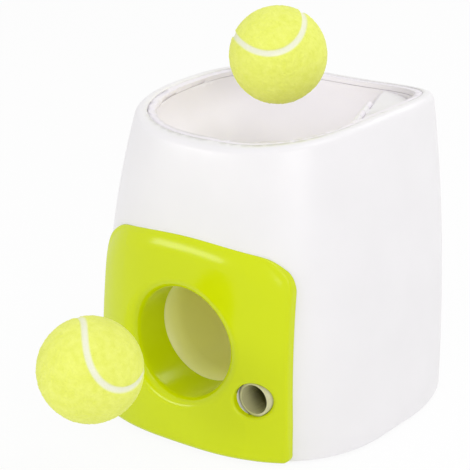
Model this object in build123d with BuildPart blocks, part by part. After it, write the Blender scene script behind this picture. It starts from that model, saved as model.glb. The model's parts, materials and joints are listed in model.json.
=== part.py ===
from build123d import *
import math
import os

os.makedirs("parts", exist_ok=True)

# Ball and treat machine for dogs. Millimetres, +Z up, the front faces -Y.
# The origin is the centre of the footprint, on the floor.
# A ball dropped in the funnel falls past a trip lever, which swings a metering drum, and rolls
# out of the front panel. The drum lets one portion of treats down the treat chute.

# --- driving sizes: ball and its path ---
ball_radius = 33.0
throat_clearance = 4.0
chute_wall = 2.2
bend_radius = 60.0
exit_level = 72.0
chute_top_level = 164.0
run_out_length = 20.0
socket_depth = 10.0
socket_wall = 2.2
socket_top_share = 0.4
socket_front_share = 0.6
joint_gap = 0.3
slip_gap = 0.2
running_gap = 0.05
cut_overlap = 1.0
cut_margin = 20.0
far = 200.0
outline_steps = 16
loft_levels = 4

# --- driving sizes: casing ---
pad_height = 2.0
body_height = 208.0
base_half_width = 107.0
base_half_depth = 113.0
base_power = 2.7
top_half_width = 86.2
top_half_depth = 103.4
top_power = 2.78
top_shift = 12.0
taper_power = 2.35
casing_wall = 2.8
saddle_rise = 4.9
rim_lip = 8.0
rim_power = 3.0
rim_side_extra = 0.7
rim_round = 5.6
ledge_width = 2.4
ledge_drop = 4.0
ledge_thickness = 8.0
boss_radius = 4.5
boss_height = 24.0
boss_root = 0.8
boss_angles = (45, 135, 225, 315)

# --- driving sizes: front panel ---
panel_proud = 4.8
panel_bottom_half = 79.5
panel_top_half = 75.5
panel_shoulder_level = 135.4
panel_crown_level = 146.0
panel_top_round = 25.0
panel_bottom_round = 3.0
panel_edge_round = 4.0
panel_skin = 2.6
panel_return = 3.4
panel_screw_bite = 3.8
panel_screw_pad = 2.6
panel_screw_places = [(-50, 128), (50, 128), (-62, 16), (64, 16)]
panel_form_rise = 10.0
ring_land = 4.0
dish_round = 7.8
dish_plug_radius = 45.2
dish_plug_depth = 6.0
collar_root = 0.6
chute_hole_gap = 0.8
treat_x = 55.0
treat_level = 45.3
treat_hole_radius = 11.6
treat_lip_round = 2.6
sleeve_hole_gap = 0.6
sleeve_wall = 1.6
sleeve_recess = 4.0

# --- driving sizes: funnel insert and treat lid ---
bowl_wall = 1.6
bowl_steps = [(0.0, 0.0), (0.19, 0.35), (0.46, 0.74), (0.76, 0.94), (1.0, 0.985), (1.54, 0.985)]
funnel_sink = 0.5
flange_gap = 0.4
throat_lip_level = 171.0
throat_lip_round = 2.6
throat_lip_width = 3.0
hatch_turn = 19.5
hatch_offset = 56.2
divider_wall = 2.4
deck_level = 197.8
deck_thickness = 2.4
mouth_offset = 69.5
mouth_along = 24.0
mouth_half_width = 9.0
mouth_half_length = 28.0
mouth_power = 2.6
skirt_wall = 1.8
skirt_bottom_level = 182.0
hopper_top_level = 190.0
hopper_shoulder_level = 184.0
hopper_ear_reach = 5.0
hopper_ear_thickness = 2.0
ear_lean = 0.2
lid_thickness = 2.4
lid_gap = 0.3
knuckle_radius = 2.4
knuckle_length = 12.0
knuckle_count = 5
hinge_along = 12.0
pin_radius = 1.2
pin_end_gap = 0.5
hinge_set_back = 0.4
lug_root = 1.0
lid_edge_gap = 0.5
lid_rim_gap = 0.6
lid_rib_inset = 4.0
lid_rib_height = 2.2
lid_rib_thickness = 1.8
lid_rib_length = 22.0
hook_width = 10.0
hook_reach = 1.4
hook_thickness = 1.6
hook_barb_height = 2.2

# --- driving sizes: treat dispenser ---
shaft_x = 62.0
shaft_level = 130.0
shaft_radius = 2.5
shaft_flat = 2.0
shaft_end = 2.0
groove_radius = 2.0
groove_gap = 0.1
drum_radius = 18.0
drum_wall = 1.8
drum_disc = 1.6
window_root_radius = 12.6
drum_width = 26.0
drum_back_y = 40.0
housing_gap = 0.4
housing_wall = 2.4
end_wall = 2.4
window_half_angle = 20.0
window_half_length = 8.0
trip_swing = 57.0
lever_reach = 48.0
lever_width = 8.0
lever_mid_y = -8.0
lever_hub_radius = 6.0
lever_tip_radius = 2.2
lever_tip_rise = 1.0
lever_root_radius = 3.4
lever_slot_gap = 0.6
lever_slot_round = 1.5
inlet_half_width = 6.9
inlet_half_length = 8.6
inlet_ear_reach = 19.5
inlet_flange = 2.4
inlet_wall = 1.8
inlet_round = 2.0
inlet_level = 157.0
hopper_wall = 1.8
neck_power = 6.0
treat_tube_radius = 12.0
treat_tube_wall = 1.8
treat_tube_bend = 15.0
treat_tube_socket = 4.4
tube_end_y = -83.7
tube_straight = 9.6
tube_drop = 10.9
spout_drop = 8.0
cover_boss_radius = 3.6
cover_boss_length = 9.0
cover_boss_angles = (15, 165, 300)
clip_radius = 4.4
clip_thickness = 0.8
clip_slot_width = 3.5
bush_radius = 4.2
bush_flange_radius = 5.6
bush_flange = 0.8
spring_mean_radius = 4.6
spring_wire_radius = 0.45
spring_pitch = 2.3
spring_turns = 4.5
spring_flats = 8
spring_leg = 11.0
peg_radius = 1.2
peg_offset = 8.0

# --- driving sizes: screws, base and pads ---
screw_radius = 1.5
screw_head_radius = 2.9
screw_head_height = 1.9
screw_head_bevel = 0.7
screw_tip_radius = 0.45
screw_tip_length = 2.4
screw_tip_gap = 0.4
screw_cross_length = 3.2
screw_cross_width = 0.8
screw_cross_depth = 1.05
screw_length = 12.0
short_screw_length = 7.5
screw_sink = 1.2
base_thickness = 2.6
pad_radius = 8.0
pad_edge = 0.5
pad_stem_radius = 2.6
pad_button_radius = 3.6
pad_button_height = 1.6
pad_inset = 26.0
pad_angles = (40, 140, 220, 320)
lug_radius = 4.2
lug_half_length = 6.0
lug_rises = (12.0, 16.0)
lug_heel_angle = 64.75
cradle_rib = 4.0
cradle_half_width = 30.0
cradle_height = 44.0
cradle_foot = 3.0
cradle_spacing = 14.0
cradle_back_y = -50.0
cradle_screw_x = 24.0
base_rib_inset = 13.0
base_rib = 2.0
base_rib_height = 4.0

# --- driving sizes: the balls as shown in use ---
top_ball_level = 241.5
front_ball_place = (-4.0, -195.5, 84.0)
ball_wall = 6.3

# --- worked out from the sizes above ---
throat_radius = ball_radius + throat_clearance
chute_radius = throat_radius + chute_wall
bend_level = exit_level + bend_radius
run_out_y = -(bend_radius + run_out_length)
rim_half_width = top_half_width - rim_lip - rim_side_extra
rim_half_depth = top_half_depth - rim_lip
drum_front_y = drum_back_y - drum_width
drum_mid_y = (drum_front_y + drum_back_y) / 2
housing_front_y = drum_front_y - housing_gap - end_wall
housing_back_y = drum_back_y + housing_gap + end_wall
housing_inner_radius = drum_radius + housing_gap
housing_radius = housing_inner_radius + housing_wall
spout_level = shaft_level - housing_radius - spout_drop
lever_front_y = lever_mid_y - lever_width / 2
lever_back_y = lever_mid_y + lever_width / 2
bush_face_y = housing_front_y - bush_flange
socket_radius = chute_radius + slip_gap + socket_wall
spill_level = body_height + cut_margin
rim_floor_level = deck_level - 30.0


# --- shared forms ---
def plan_face(level, half_width, half_depth, power, middle=(0, 0), turn=0):
    """A superellipse in plan, as a face at one height."""
    points = []
    for step in range(outline_steps):
        angle = 2 * math.pi * step / outline_steps
        across, along = math.cos(angle), math.sin(angle)
        reach = (abs(across) ** power + abs(along) ** power) ** (-1 / power)
        points.append((half_width * reach * across, half_depth * reach * along))
    aim = math.radians(turn)
    plane = Plane((middle[0], middle[1], level), (math.cos(aim), math.sin(aim), 0), (0, 0, 1))
    with BuildSketch(plane) as outline:
        with BuildLine():
            Spline(*points, periodic=True)
        make_face()
    return outline.sketch


def body_face(level, inset):
    """The casing's plan outline at one height, drawn in by inset."""
    rise = (level / body_height) ** taper_power
    half_width = base_half_width + (top_half_width - base_half_width) * rise - inset
    half_depth = base_half_depth + (top_half_depth - base_half_depth) * rise - inset
    power = base_power + (top_power - base_power) * level / body_height
    return plan_face(level, half_width, half_depth, power, (0, top_shift * rise))


def body_form(bottom, top, inset):
    """The tapering body between two heights, drawn in by inset."""
    step = (top - bottom) / (loft_levels - 1)
    with BuildPart() as form:
        loft([body_face(bottom + step * index, inset) for index in range(loft_levels)])
    return form.part


def body_point(degrees, inset):
    """A place in plan on the base outline, drawn in by inset."""
    across, along = math.cos(math.radians(degrees)), math.sin(math.radians(degrees))
    reach = (abs(across) ** base_power + abs(along) ** base_power) ** (-1 / base_power)
    return (
        (base_half_width - inset) * reach * across,
        (base_half_depth - inset) * reach * along,
    )


def front_y(x, level, inset=0):
    """Where the casing's front surface lies, drawn in by inset."""
    rise = (level / body_height) ** taper_power
    half_width = base_half_width + (top_half_width - base_half_width) * rise - inset
    half_depth = base_half_depth + (top_half_depth - base_half_depth) * rise - inset
    power = base_power + (top_power - base_power) * level / body_height
    return top_shift * rise - half_depth * (1 - (abs(x) / half_width) ** power) ** (1 / power)


def above_rim(drop):
    """Everything above the saddle of the rim, lowered by drop."""
    saddle_radius = rim_half_depth**2 / (2 * saddle_rise)
    half_span = base_half_width + cut_margin
    edge_rise = saddle_rise * (half_span / rim_half_width) ** 2
    sweep_angle = math.degrees(math.asin((base_half_depth + cut_margin) / saddle_radius))
    axis_level = body_height - drop - saddle_radius
    axis = Axis((0, top_shift, axis_level), (1, 0, 0))
    with BuildSketch(Plane((0, top_shift, axis_level), (1, 0, 0), (0, -1, 0))) as section:
        with BuildLine():
            ThreePointArc(
                (-half_span, saddle_radius + edge_rise),
                (0, saddle_radius),
                (half_span, saddle_radius + edge_rise),
            )
            Polyline(
                (half_span, saddle_radius + edge_rise),
                (half_span, saddle_radius + far),
                (-half_span, saddle_radius + far),
                (-half_span, saddle_radius + edge_rise),
            )
        make_face()
    start = section.sketch.rotate(axis, -sweep_angle)
    with BuildPart() as region:
        revolve(start, axis, revolution_arc=2 * sweep_angle)
    return region.part


def column(face, top):
    """A face in plan drawn straight up to a height."""
    with BuildPart() as form:
        extrude(face, top - face.bounding_box().min.Z)
    return form.part


def y_cylinder(radius, x, level, front_y, back_y):
    """A cylinder along Y between two places."""
    with BuildPart() as form:
        with BuildSketch(Plane.XZ.offset(-back_y)):
            with Locations((x, level)):
                Circle(radius)
        extrude(amount=back_y - front_y)
    return form.part


def x_cylinder(radius, y, level, left_x, right_x):
    """A cylinder along X between two places."""
    with BuildPart() as form:
        with BuildSketch(Plane.YZ.offset(left_x)):
            with Locations((y, level)):
                Circle(radius)
        extrude(amount=right_x - left_x)
    return form.part


def z_cylinder(radius, x, y, bottom, top):
    """An upright cylinder between two heights."""
    with BuildPart() as form:
        with BuildSketch(Plane.XY.offset(bottom)):
            with Locations((x, y)):
                Circle(radius)
        extrude(amount=top - bottom)
    return form.part


def ball_path(radius):
    """The drop, bend and run-out that the ball takes, at one radius."""
    with BuildPart() as path:
        with BuildSketch(Plane.XY.offset(bend_level)):
            Circle(radius)
        extrude(amount=chute_top_level - bend_level)
        with BuildSketch(Plane.XY.offset(bend_level)):
            Circle(radius)
        revolve(axis=Axis((0, -bend_radius, bend_level), (-1, 0, 0)), revolution_arc=90)
        with BuildSketch(Plane.XZ.offset(bend_radius)):
            with Locations((0, exit_level)):
                Circle(radius)
        extrude(amount=run_out_length)
    return path.part


def pan_screw(length):
    """A pan-head screw standing on Z = 0, head up, shank down."""
    with BuildPart() as screw:
        with BuildSketch(Plane.XZ):
            with BuildLine():
                Polyline(
                    (0, -length),
                    (screw_tip_radius, -length),
                    (screw_radius, -length + screw_tip_length),
                    (screw_radius, 0),
                    (screw_head_radius, 0),
                    (screw_head_radius, screw_head_height - screw_head_bevel),
                    (screw_head_radius - screw_head_bevel, screw_head_height),
                    (0, screw_head_height),
                    close=True,
                )
            make_face()
        revolve(axis=Axis.Z)
        with BuildSketch(Plane.XY.offset(screw_head_height - screw_cross_depth)):
            Rectangle(screw_cross_length, screw_cross_width)
            Rectangle(screw_cross_width, screw_cross_length)
        extrude(amount=screw_cross_depth, mode=Mode.SUBTRACT)
    return screw.part


def screws_at(places, length=screw_length):
    """One screw at each plane, its head on the plane and its shank behind it."""
    pattern = pan_screw(length)
    return [place * pattern for place in places]


def save(piece, label):
    """Names a finished piece and writes it."""
    piece.label = label
    export_step(piece, f"parts/{label}.step")
    print(label, len(piece.solids()), round(piece.volume))


# --- outer casing ---
casing_bottom = pad_height
base_top = casing_bottom + base_thickness
boss_places = [body_point(angle, casing_wall + boss_radius - boss_root) for angle in boss_angles]
rim_middle = (0, top_shift)
rim_hole = plan_face(rim_floor_level, rim_half_width, rim_half_depth, rim_power, rim_middle)
ledge_half_width = rim_half_width - ledge_width
ledge_half_depth = rim_half_depth - ledge_width
ledge_hole = plan_face(rim_floor_level, ledge_half_width, ledge_half_depth, rim_power, rim_middle)
rim_recess = column(rim_hole, spill_level) & above_rim(ledge_drop)
cavity = body_form(casing_bottom, spill_level, casing_wall) - above_rim(ledge_drop + ledge_thickness)
panel_screw_seats = [
    front_y(x, level, casing_wall) + panel_screw_pad for x, level in panel_screw_places
]

boss_limit = body_form(casing_bottom, panel_crown_level, casing_wall / 2)

with BuildPart() as outer_casing:
    add(body_form(casing_bottom, spill_level, 0))
    add(above_rim(0), mode=Mode.SUBTRACT)
    fillet(outer_casing.edges().group_by(Axis.Z)[-1], rim_round)
    add(cavity, mode=Mode.SUBTRACT)
    add(rim_recess, mode=Mode.SUBTRACT)
    add(column(ledge_hole, spill_level), mode=Mode.SUBTRACT)
    for place in boss_places:
        add(z_cylinder(boss_radius, *place, base_top + joint_gap, base_top + boss_height))
        add(
            z_cylinder(screw_radius + running_gap, *place, casing_bottom, base_top + screw_length),
            mode=Mode.SUBTRACT,
        )
    for place, seat in zip(panel_screw_places, panel_screw_seats):
        add(y_cylinder(boss_radius, *place, -far, seat) & boss_limit)
        add(y_cylinder(screw_radius + slip_gap, *place, -far, seat), mode=Mode.SUBTRACT)
    add(y_cylinder(dish_plug_radius + chute_hole_gap, 0, exit_level, -far, -bend_radius), mode=Mode.SUBTRACT)
    add(
        y_cylinder(treat_hole_radius + sleeve_hole_gap, treat_x, treat_level, -far, -bend_radius),
        mode=Mode.SUBTRACT,
    )
save(outer_casing.part, "outer_casing")

# --- front panel ---
with BuildSketch(Plane.XZ.offset(bend_radius)) as panel_outline:
    with BuildLine():
        Line((-panel_bottom_half, casing_bottom), (panel_bottom_half, casing_bottom))
        Line((panel_bottom_half, casing_bottom), (panel_top_half, panel_shoulder_level))
        ThreePointArc(
            (panel_top_half, panel_shoulder_level),
            (0, panel_crown_level),
            (-panel_top_half, panel_shoulder_level),
        )
        Line((-panel_top_half, panel_shoulder_level), (-panel_bottom_half, casing_bottom))
    make_face()
    fillet(panel_outline.vertices().group_by(Axis.Z)[-1], panel_top_round)
    fillet(panel_outline.vertices().group_by(Axis.Z)[0], panel_bottom_round)
panel_top = panel_crown_level + panel_form_rise
solid_rings = [
    (throat_radius + dish_round + ring_land, 0, exit_level),
    (treat_hole_radius + treat_lip_round + ring_land, treat_x, treat_level),
    *[(boss_radius, x, level) for x, level in panel_screw_places],
]
with BuildPart() as panel_block:
    extrude(panel_outline.sketch, amount=far - bend_radius)
with BuildPart() as pocket_block:
    extrude(offset(panel_outline.sketch, -panel_return), amount=far - bend_radius)
    for radius, x, level in solid_rings:
        add(y_cylinder(radius, x, level, -far, -bend_radius), mode=Mode.SUBTRACT)
panel_form = body_form(casing_bottom, panel_top, -panel_proud) & panel_block.part
panel_pocket = body_form(casing_bottom, panel_top, panel_skin - panel_proud) & pocket_block.part
collar = y_cylinder(chute_radius, 0, exit_level, -far, run_out_y - joint_gap) & body_form(
    casing_bottom, panel_top, dish_plug_depth - collar_root
)

casing_space = body_form(casing_bottom - cut_overlap, panel_top + cut_overlap, -slip_gap)
dish_plug = y_cylinder(dish_plug_radius, 0, exit_level, -far, -bend_radius)
plug_back = body_form(casing_bottom - cut_overlap, panel_top + cut_overlap, dish_plug_depth)

with BuildPart() as front_panel:
    add(panel_form)
    fillet(front_panel.faces().sort_by(Axis.Y)[0].edges(), panel_edge_round)
    add(y_cylinder(throat_radius, 0, exit_level, -far, -bend_radius), mode=Mode.SUBTRACT)
    fillet(front_panel.edges(Select.LAST).sort_by(Axis.Y)[0], dish_round)
    add(y_cylinder(treat_hole_radius, treat_x, treat_level, -far, -bend_radius), mode=Mode.SUBTRACT)
    fillet(front_panel.edges(Select.LAST).sort_by(Axis.Y)[0], treat_lip_round)
    add(casing_space - dish_plug, mode=Mode.SUBTRACT)
    add(plug_back, mode=Mode.SUBTRACT)
    add(panel_pocket, mode=Mode.SUBTRACT)
    add(collar - y_cylinder(throat_radius, 0, exit_level, -far, -bend_radius))
    for x, level in panel_screw_places:
        tip = front_y(x, level) - panel_screw_bite
        add(y_cylinder(screw_radius + running_gap, x, level, tip, -bend_radius), mode=Mode.SUBTRACT)
save(front_panel.part, "front_panel")

# --- funnel insert ---
bowl_half_width = ledge_half_width - joint_gap - bowl_wall
bowl_half_depth = ledge_half_depth - joint_gap - bowl_wall
bowl_depth = body_height - throat_lip_level
throat_cut_level = throat_lip_level + 2 * throat_lip_width
hatch_aim = math.radians(hatch_turn)
hatch_out = Vector(math.cos(hatch_aim), math.sin(hatch_aim), 0)
hatch_way = Vector(-math.sin(hatch_aim), math.cos(hatch_aim), 0)
mouth_place = hatch_out * mouth_offset + hatch_way * mouth_along
mouth_middle = (mouth_place.X, mouth_place.Y)


def bowl_form(grow):
    """The inside of the funnel bowl as a solid, grown all round by grow."""
    bottom_radius = throat_radius + throat_lip_width
    sections = []
    for height_share, spread in bowl_steps:
        level = throat_lip_level + bowl_depth * height_share
        sections.append(
            plan_face(
                level - (grow if level < body_height else 0),
                bottom_radius + (bowl_half_width - bottom_radius) * spread + grow,
                bottom_radius + (bowl_half_depth - bottom_radius) * spread + grow,
                2 + (rim_power - 2) * spread,
                (0, top_shift * spread),
            )
        )
    with BuildPart() as form:
        loft(sections)
    return form.part


def hatch_slab(near, beyond, bottom, top):
    """Upright slab parallel to the hatch line, between two distances from the throat."""
    plane = Plane((0, 0, bottom), hatch_out, (0, 0, 1))
    with BuildPart() as slab:
        with BuildSketch(plane):
            with Locations(((near + beyond) / 2, 0)):
                Rectangle(beyond - near, 2 * far)
        extrude(amount=top - bottom)
    return slab.part


def hatch_bar(profile, start, length):
    """A profile, drawn as distance from the throat and height, run along the hatch line."""
    plane = Plane(hatch_way * (start + length), hatch_out, -hatch_way)
    with BuildPart() as bar:
        extrude(plane * profile, amount=length)
    return bar.part


def mouth_column(grow, bottom, top):
    """The hopper mouth as an upright column, grown all round by grow."""
    face = plan_face(
        bottom,
        mouth_half_width + grow,
        mouth_half_length + grow,
        mouth_power,
        mouth_middle,
        hatch_turn,
    )
    return column(face, top)


def snap_hook(turn, half_span, rim_level):
    """A leg that hangs inside the rim ledge, with a barb under it."""
    top = rim_level - ledge_drop + cut_overlap
    ledge_under = rim_level - ledge_drop - ledge_thickness
    bottom = ledge_under - joint_gap - hook_barb_height
    face = half_span - joint_gap
    with BuildSketch(Plane.XZ) as section:
        with BuildLine():
            Polyline(
                (face - hook_thickness, top),
                (face, top),
                (face, bottom + hook_barb_height),
                (face + hook_reach, bottom + hook_barb_height),
                (face, bottom),
                (face - hook_thickness, bottom),
                close=True,
            )
        make_face()
    with BuildPart() as hook:
        extrude(section.sketch, amount=hook_width / 2, both=True)
    return Pos(0, top_shift) * Rot(0, 0, turn) * hook.part


hopper_grow = skirt_wall + slip_gap + hopper_wall
ear_top = hopper_shoulder_level + hopper_ear_thickness + joint_gap
ear_places = []
for side in (-1, 1):
    ear_along = mouth_along + side * (mouth_half_length + hopper_grow + hopper_ear_reach)
    ear = hatch_out * mouth_offset + hatch_way * ear_along
    ear_places.append((ear.X, ear.Y))


def ear_form(place, grow, bottom, top):
    """One of the hopper's screw ears, reaching in under its collar."""
    inner = Vector(*place) + (Vector(*mouth_middle) - Vector(*place)) * ear_lean
    with BuildPart() as ear:
        with BuildSketch(Plane.XY.offset(bottom)):
            with Locations(place, (inner.X, inner.Y)):
                Circle(boss_radius + grow)
            make_hull()
        extrude(amount=top - bottom)
    return ear.part


lid_bottom = deck_level + lid_gap
hinge_offset = hatch_offset - divider_wall / 2 - hinge_set_back
hinge_level = deck_level + knuckle_radius + slip_gap
hinge_start = hinge_along - knuckle_length * knuckle_count / 2
side_rim_level = body_height + saddle_rise
end_rim_level = body_height - saddle_rise
bowl_outside = bowl_form(bowl_wall)
bowl_inside = bowl_form(0)
hatch_deck = hatch_slab(hatch_offset - divider_wall, far, deck_level - deck_thickness, deck_level)
divider = hatch_slab(hatch_offset - divider_wall, hatch_offset, throat_lip_level, deck_level)
flange_face = plan_face(
    rim_floor_level, rim_half_width - flange_gap, rim_half_depth - flange_gap, rim_power, rim_middle
)
flange = (column(flange_face, spill_level) & above_rim(ledge_drop - joint_gap)) - above_rim(
    funnel_sink
)

with BuildSketch() as lug_profile:
    with Locations((hinge_offset, hinge_level)):
        Circle(knuckle_radius)
    with Locations((hinge_offset, (hinge_level + deck_level - lug_root) / 2)):
        Rectangle(2 * knuckle_radius, hinge_level - deck_level + lug_root)
with BuildSketch() as knuckle_profile:
    with Locations((hinge_offset, hinge_level)):
        Circle(knuckle_radius)
    with Locations((hinge_offset + knuckle_radius, lid_bottom + lid_thickness / 2)):
        Rectangle(2 * knuckle_radius, lid_thickness)
with BuildSketch() as pin_bore_profile:
    with Locations((hinge_offset, hinge_level)):
        Circle(pin_radius + running_gap)
with BuildSketch() as pin_profile:
    with Locations((hinge_offset, hinge_level)):
        Circle(pin_radius)
hinge_length = knuckle_length * knuckle_count
hinge_bore = hatch_bar(
    pin_bore_profile.sketch, hinge_start - cut_overlap, hinge_length + 2 * cut_overlap
)

with BuildPart() as funnel_insert:
    add(bowl_outside - above_rim(ledge_drop))
    add(flange)
    add(z_cylinder(chute_radius, 0, 0, chute_top_level + joint_gap, throat_lip_level + cut_overlap))
    for turn, half_span, level in (
        (0, ledge_half_width, side_rim_level),
        (180, ledge_half_width, side_rim_level),
        (90, ledge_half_depth, end_rim_level),
        (270, ledge_half_depth, end_rim_level),
    ):
        add(snap_hook(turn, half_span, level))
    add(bowl_inside, mode=Mode.SUBTRACT)
    add(z_cylinder(throat_radius, 0, 0, bend_level, throat_cut_level), mode=Mode.SUBTRACT)
    fillet(funnel_insert.edges(Select.LAST).sort_by(Axis.Z)[-1], throat_lip_round)
    add((hatch_deck + divider) & bowl_outside)
    add(
        mouth_column(hopper_grow + joint_gap, throat_lip_level, deck_level - deck_thickness),
        mode=Mode.SUBTRACT,
    )
    add(mouth_column(skirt_wall, skirt_bottom_level, deck_level))
    add(mouth_column(0, throat_lip_level, spill_level), mode=Mode.SUBTRACT)
    for place in ear_places:
        add(ear_form(place, joint_gap, throat_lip_level, ear_top), mode=Mode.SUBTRACT)
        add(z_cylinder(boss_radius, *place, ear_top, deck_level - deck_thickness / 2))
        add(
            z_cylinder(screw_radius + running_gap, *place, ear_top, ear_top + short_screw_length),
            mode=Mode.SUBTRACT,
        )
    for index in range(0, knuckle_count, 2):
        start = hinge_start + knuckle_length * index
        add(hatch_bar(lug_profile.sketch, start + slip_gap, knuckle_length - 2 * slip_gap))
    add(hinge_bore, mode=Mode.SUBTRACT)
save(funnel_insert.part, "funnel_insert")

# --- treat lid and its hinge pin ---
lid_plate = hatch_slab(
    hinge_offset + knuckle_radius + lid_edge_gap, far, lid_bottom, lid_bottom + lid_thickness
)
lid_rib = hatch_slab(
    hatch_offset, far, lid_bottom + cut_overlap, lid_bottom + lid_thickness + lid_rib_height
)
with BuildSketch() as rib_window_profile:
    with Locations((hatch_offset + far / 2, deck_level)):
        Rectangle(far, far)
rib_window = hatch_bar(rib_window_profile.sketch, mouth_along - lid_rib_length / 2, lid_rib_length)
rib_band = bowl_form(-lid_rib_inset) - bowl_form(-lid_rib_inset - lid_rib_thickness)

with BuildPart() as treat_lid:
    add(lid_plate & bowl_form(-lid_rim_gap))
    add(lid_rib & rib_window & rib_band)
    for index in range(1, knuckle_count, 2):
        start = hinge_start + knuckle_length * index
        add(hatch_bar(knuckle_profile.sketch, start + slip_gap, knuckle_length - 2 * slip_gap))
    add(hinge_bore, mode=Mode.SUBTRACT)
save(treat_lid.part, "treat_lid")

with BuildPart() as lid_hinge_pin:
    add(hatch_bar(pin_profile.sketch, hinge_start + pin_end_gap, hinge_length - 2 * pin_end_gap))
save(lid_hinge_pin.part, "lid_hinge_pin")

# --- ball chute: two halves joined on the seam plane X = 0 ---
lug_out = chute_radius + lug_radius - lug_root
outer_corner = bend_radius + lug_out
heel = math.radians(lug_heel_angle)
lug_places = [
    (lug_out, bend_level + lug_rises[0]),
    (-lug_out, bend_level + lug_rises[1]),
    (-bend_radius - lug_radius - joint_gap, exit_level + lug_out),
    (-bend_radius + outer_corner * math.cos(heel), bend_level - outer_corner * math.sin(heel)),
]
socket_top = chute_top_level + socket_depth * socket_top_share
socket_front_y = run_out_y - socket_depth * socket_front_share
slot_half_width = lever_width / 2 + lever_slot_gap
lever_drop = lever_reach * math.sin(math.radians(trip_swing))
slot_bottom = shaft_level - lever_drop - 2 * lever_tip_radius
slot_top = shaft_level + lever_root_radius + joint_gap


def chute_half(side):
    """One half of the ball chute: side 1 is right, -1 is left."""
    reach = side * lug_half_length
    with BuildPart() as half:
        add(ball_path(chute_radius))
        add(z_cylinder(socket_radius, 0, 0, chute_top_level - socket_depth, socket_top))
        add(y_cylinder(socket_radius, 0, exit_level, socket_front_y, run_out_y + socket_depth))
        for y, level in lug_places:
            add(x_cylinder(lug_radius, y, level, min(0, reach), max(0, reach)))
        add(
            z_cylinder(chute_radius + slip_gap, 0, 0, chute_top_level, socket_top),
            mode=Mode.SUBTRACT,
        )
        add(
            y_cylinder(chute_radius + slip_gap, 0, exit_level, socket_front_y, run_out_y),
            mode=Mode.SUBTRACT,
        )
        add(ball_path(throat_radius), mode=Mode.SUBTRACT)
        split(bisect_by=Plane.YZ, keep=Keep.TOP if side > 0 else Keep.BOTTOM)
    return half.part


chute_screw_radius = screw_radius + running_gap
with BuildPart() as ball_chute_left:
    add(chute_half(-1))
    for y, level in lug_places:
        add(
            x_cylinder(chute_screw_radius, y, level, -lug_half_length, 0),
            mode=Mode.SUBTRACT,
        )
save(ball_chute_left.part, "ball_chute_left")

with BuildPart() as ball_chute_right:
    add(chute_half(1))
    for y, level in lug_places:
        add(
            x_cylinder(screw_radius + slip_gap, y, level, 0, lug_half_length),
            mode=Mode.SUBTRACT,
        )
    with BuildSketch(Plane.YZ.offset(throat_radius / 2)):
        with Locations((lever_mid_y, (slot_bottom + slot_top) / 2)):
            RectangleRounded(2 * slot_half_width, slot_top - slot_bottom, lever_slot_round)
    extrude(amount=throat_radius, mode=Mode.SUBTRACT)
save(ball_chute_right.part, "ball_chute_right")

chute_screws = Compound(
    screws_at(
        [Plane((lug_half_length, y, level), (0, 1, 0), (1, 0, 0)).location for y, level in lug_places]
    )
)
save(chute_screws, "chute_screws")

# --- trip shaft, lever, drum, bushes, clips and spring ---
clip_front_y = lever_front_y - slip_gap - clip_thickness
clip_back_y = housing_back_y + bush_flange + slip_gap
shaft_front_y = clip_front_y - shaft_end
shaft_back_y = clip_back_y + clip_thickness + shaft_end


def shaft_bar(grow, front_y_end, back_y_end):
    """The shaft's flatted section between two places, grown all round."""
    with BuildPart() as bar:
        with BuildSketch(Plane.XZ.offset(-back_y_end)):
            with Locations((shaft_x, shaft_level)):
                Circle(shaft_radius + grow)
            with Locations((shaft_x, shaft_level + shaft_flat + grow + shaft_radius)):
                Rectangle(4 * shaft_radius, 2 * shaft_radius, mode=Mode.SUBTRACT)
        extrude(amount=back_y_end - front_y_end)
    return bar.part


with BuildPart() as trip_shaft:
    add(shaft_bar(0, shaft_front_y, lever_back_y))
    add(y_cylinder(shaft_radius, shaft_x, shaft_level, lever_back_y, drum_front_y))
    add(shaft_bar(0, drum_front_y, drum_back_y))
    add(y_cylinder(shaft_radius, shaft_x, shaft_level, drum_back_y, shaft_back_y))
    for groove_y in (clip_front_y, clip_back_y):
        groove_ends = (groove_y - groove_gap, groove_y + clip_thickness + groove_gap)
        ring = y_cylinder(2 * shaft_radius, shaft_x, shaft_level, *groove_ends)
        core = y_cylinder(groove_radius, shaft_x, shaft_level, *groove_ends)
        add(ring - core, mode=Mode.SUBTRACT)
save(trip_shaft.part, "trip_shaft")

spring_start_y = lever_back_y + spring_wire_radius + slip_gap
spring_leg_y = spring_start_y + 2 * spring_wire_radius
spring_end_y = spring_start_y + spring_pitch * spring_turns - 2 * spring_wire_radius
peg_drop = spring_mean_radius + spring_wire_radius + joint_gap + peg_radius
with BuildPart() as trip_lever:
    with BuildSketch(Plane.XZ.offset(-lever_back_y)):
        with Locations((shaft_x, shaft_level)):
            Circle(lever_root_radius)
        with Locations((shaft_x - lever_reach + lever_tip_radius, shaft_level + lever_tip_rise)):
            Circle(lever_tip_radius)
        make_hull()
        with Locations((shaft_x, shaft_level)):
            Circle(lever_hub_radius)
    extrude(amount=lever_width)
    with BuildSketch(Plane.XZ.offset(-lever_back_y)):
        with Locations((shaft_x, shaft_level)):
            Circle(lever_hub_radius)
        with Locations((shaft_x - peg_offset, shaft_level + peg_drop)):
            Circle(2 * peg_radius)
        make_hull()
    extrude(amount=2 * peg_radius)
    add(y_cylinder(peg_radius, shaft_x - peg_offset, shaft_level + peg_drop, lever_back_y, spring_leg_y))
    add(shaft_bar(running_gap, lever_front_y - cut_overlap, lever_back_y + cut_overlap), mode=Mode.SUBTRACT)
save(trip_lever.part, "trip_lever")


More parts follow.
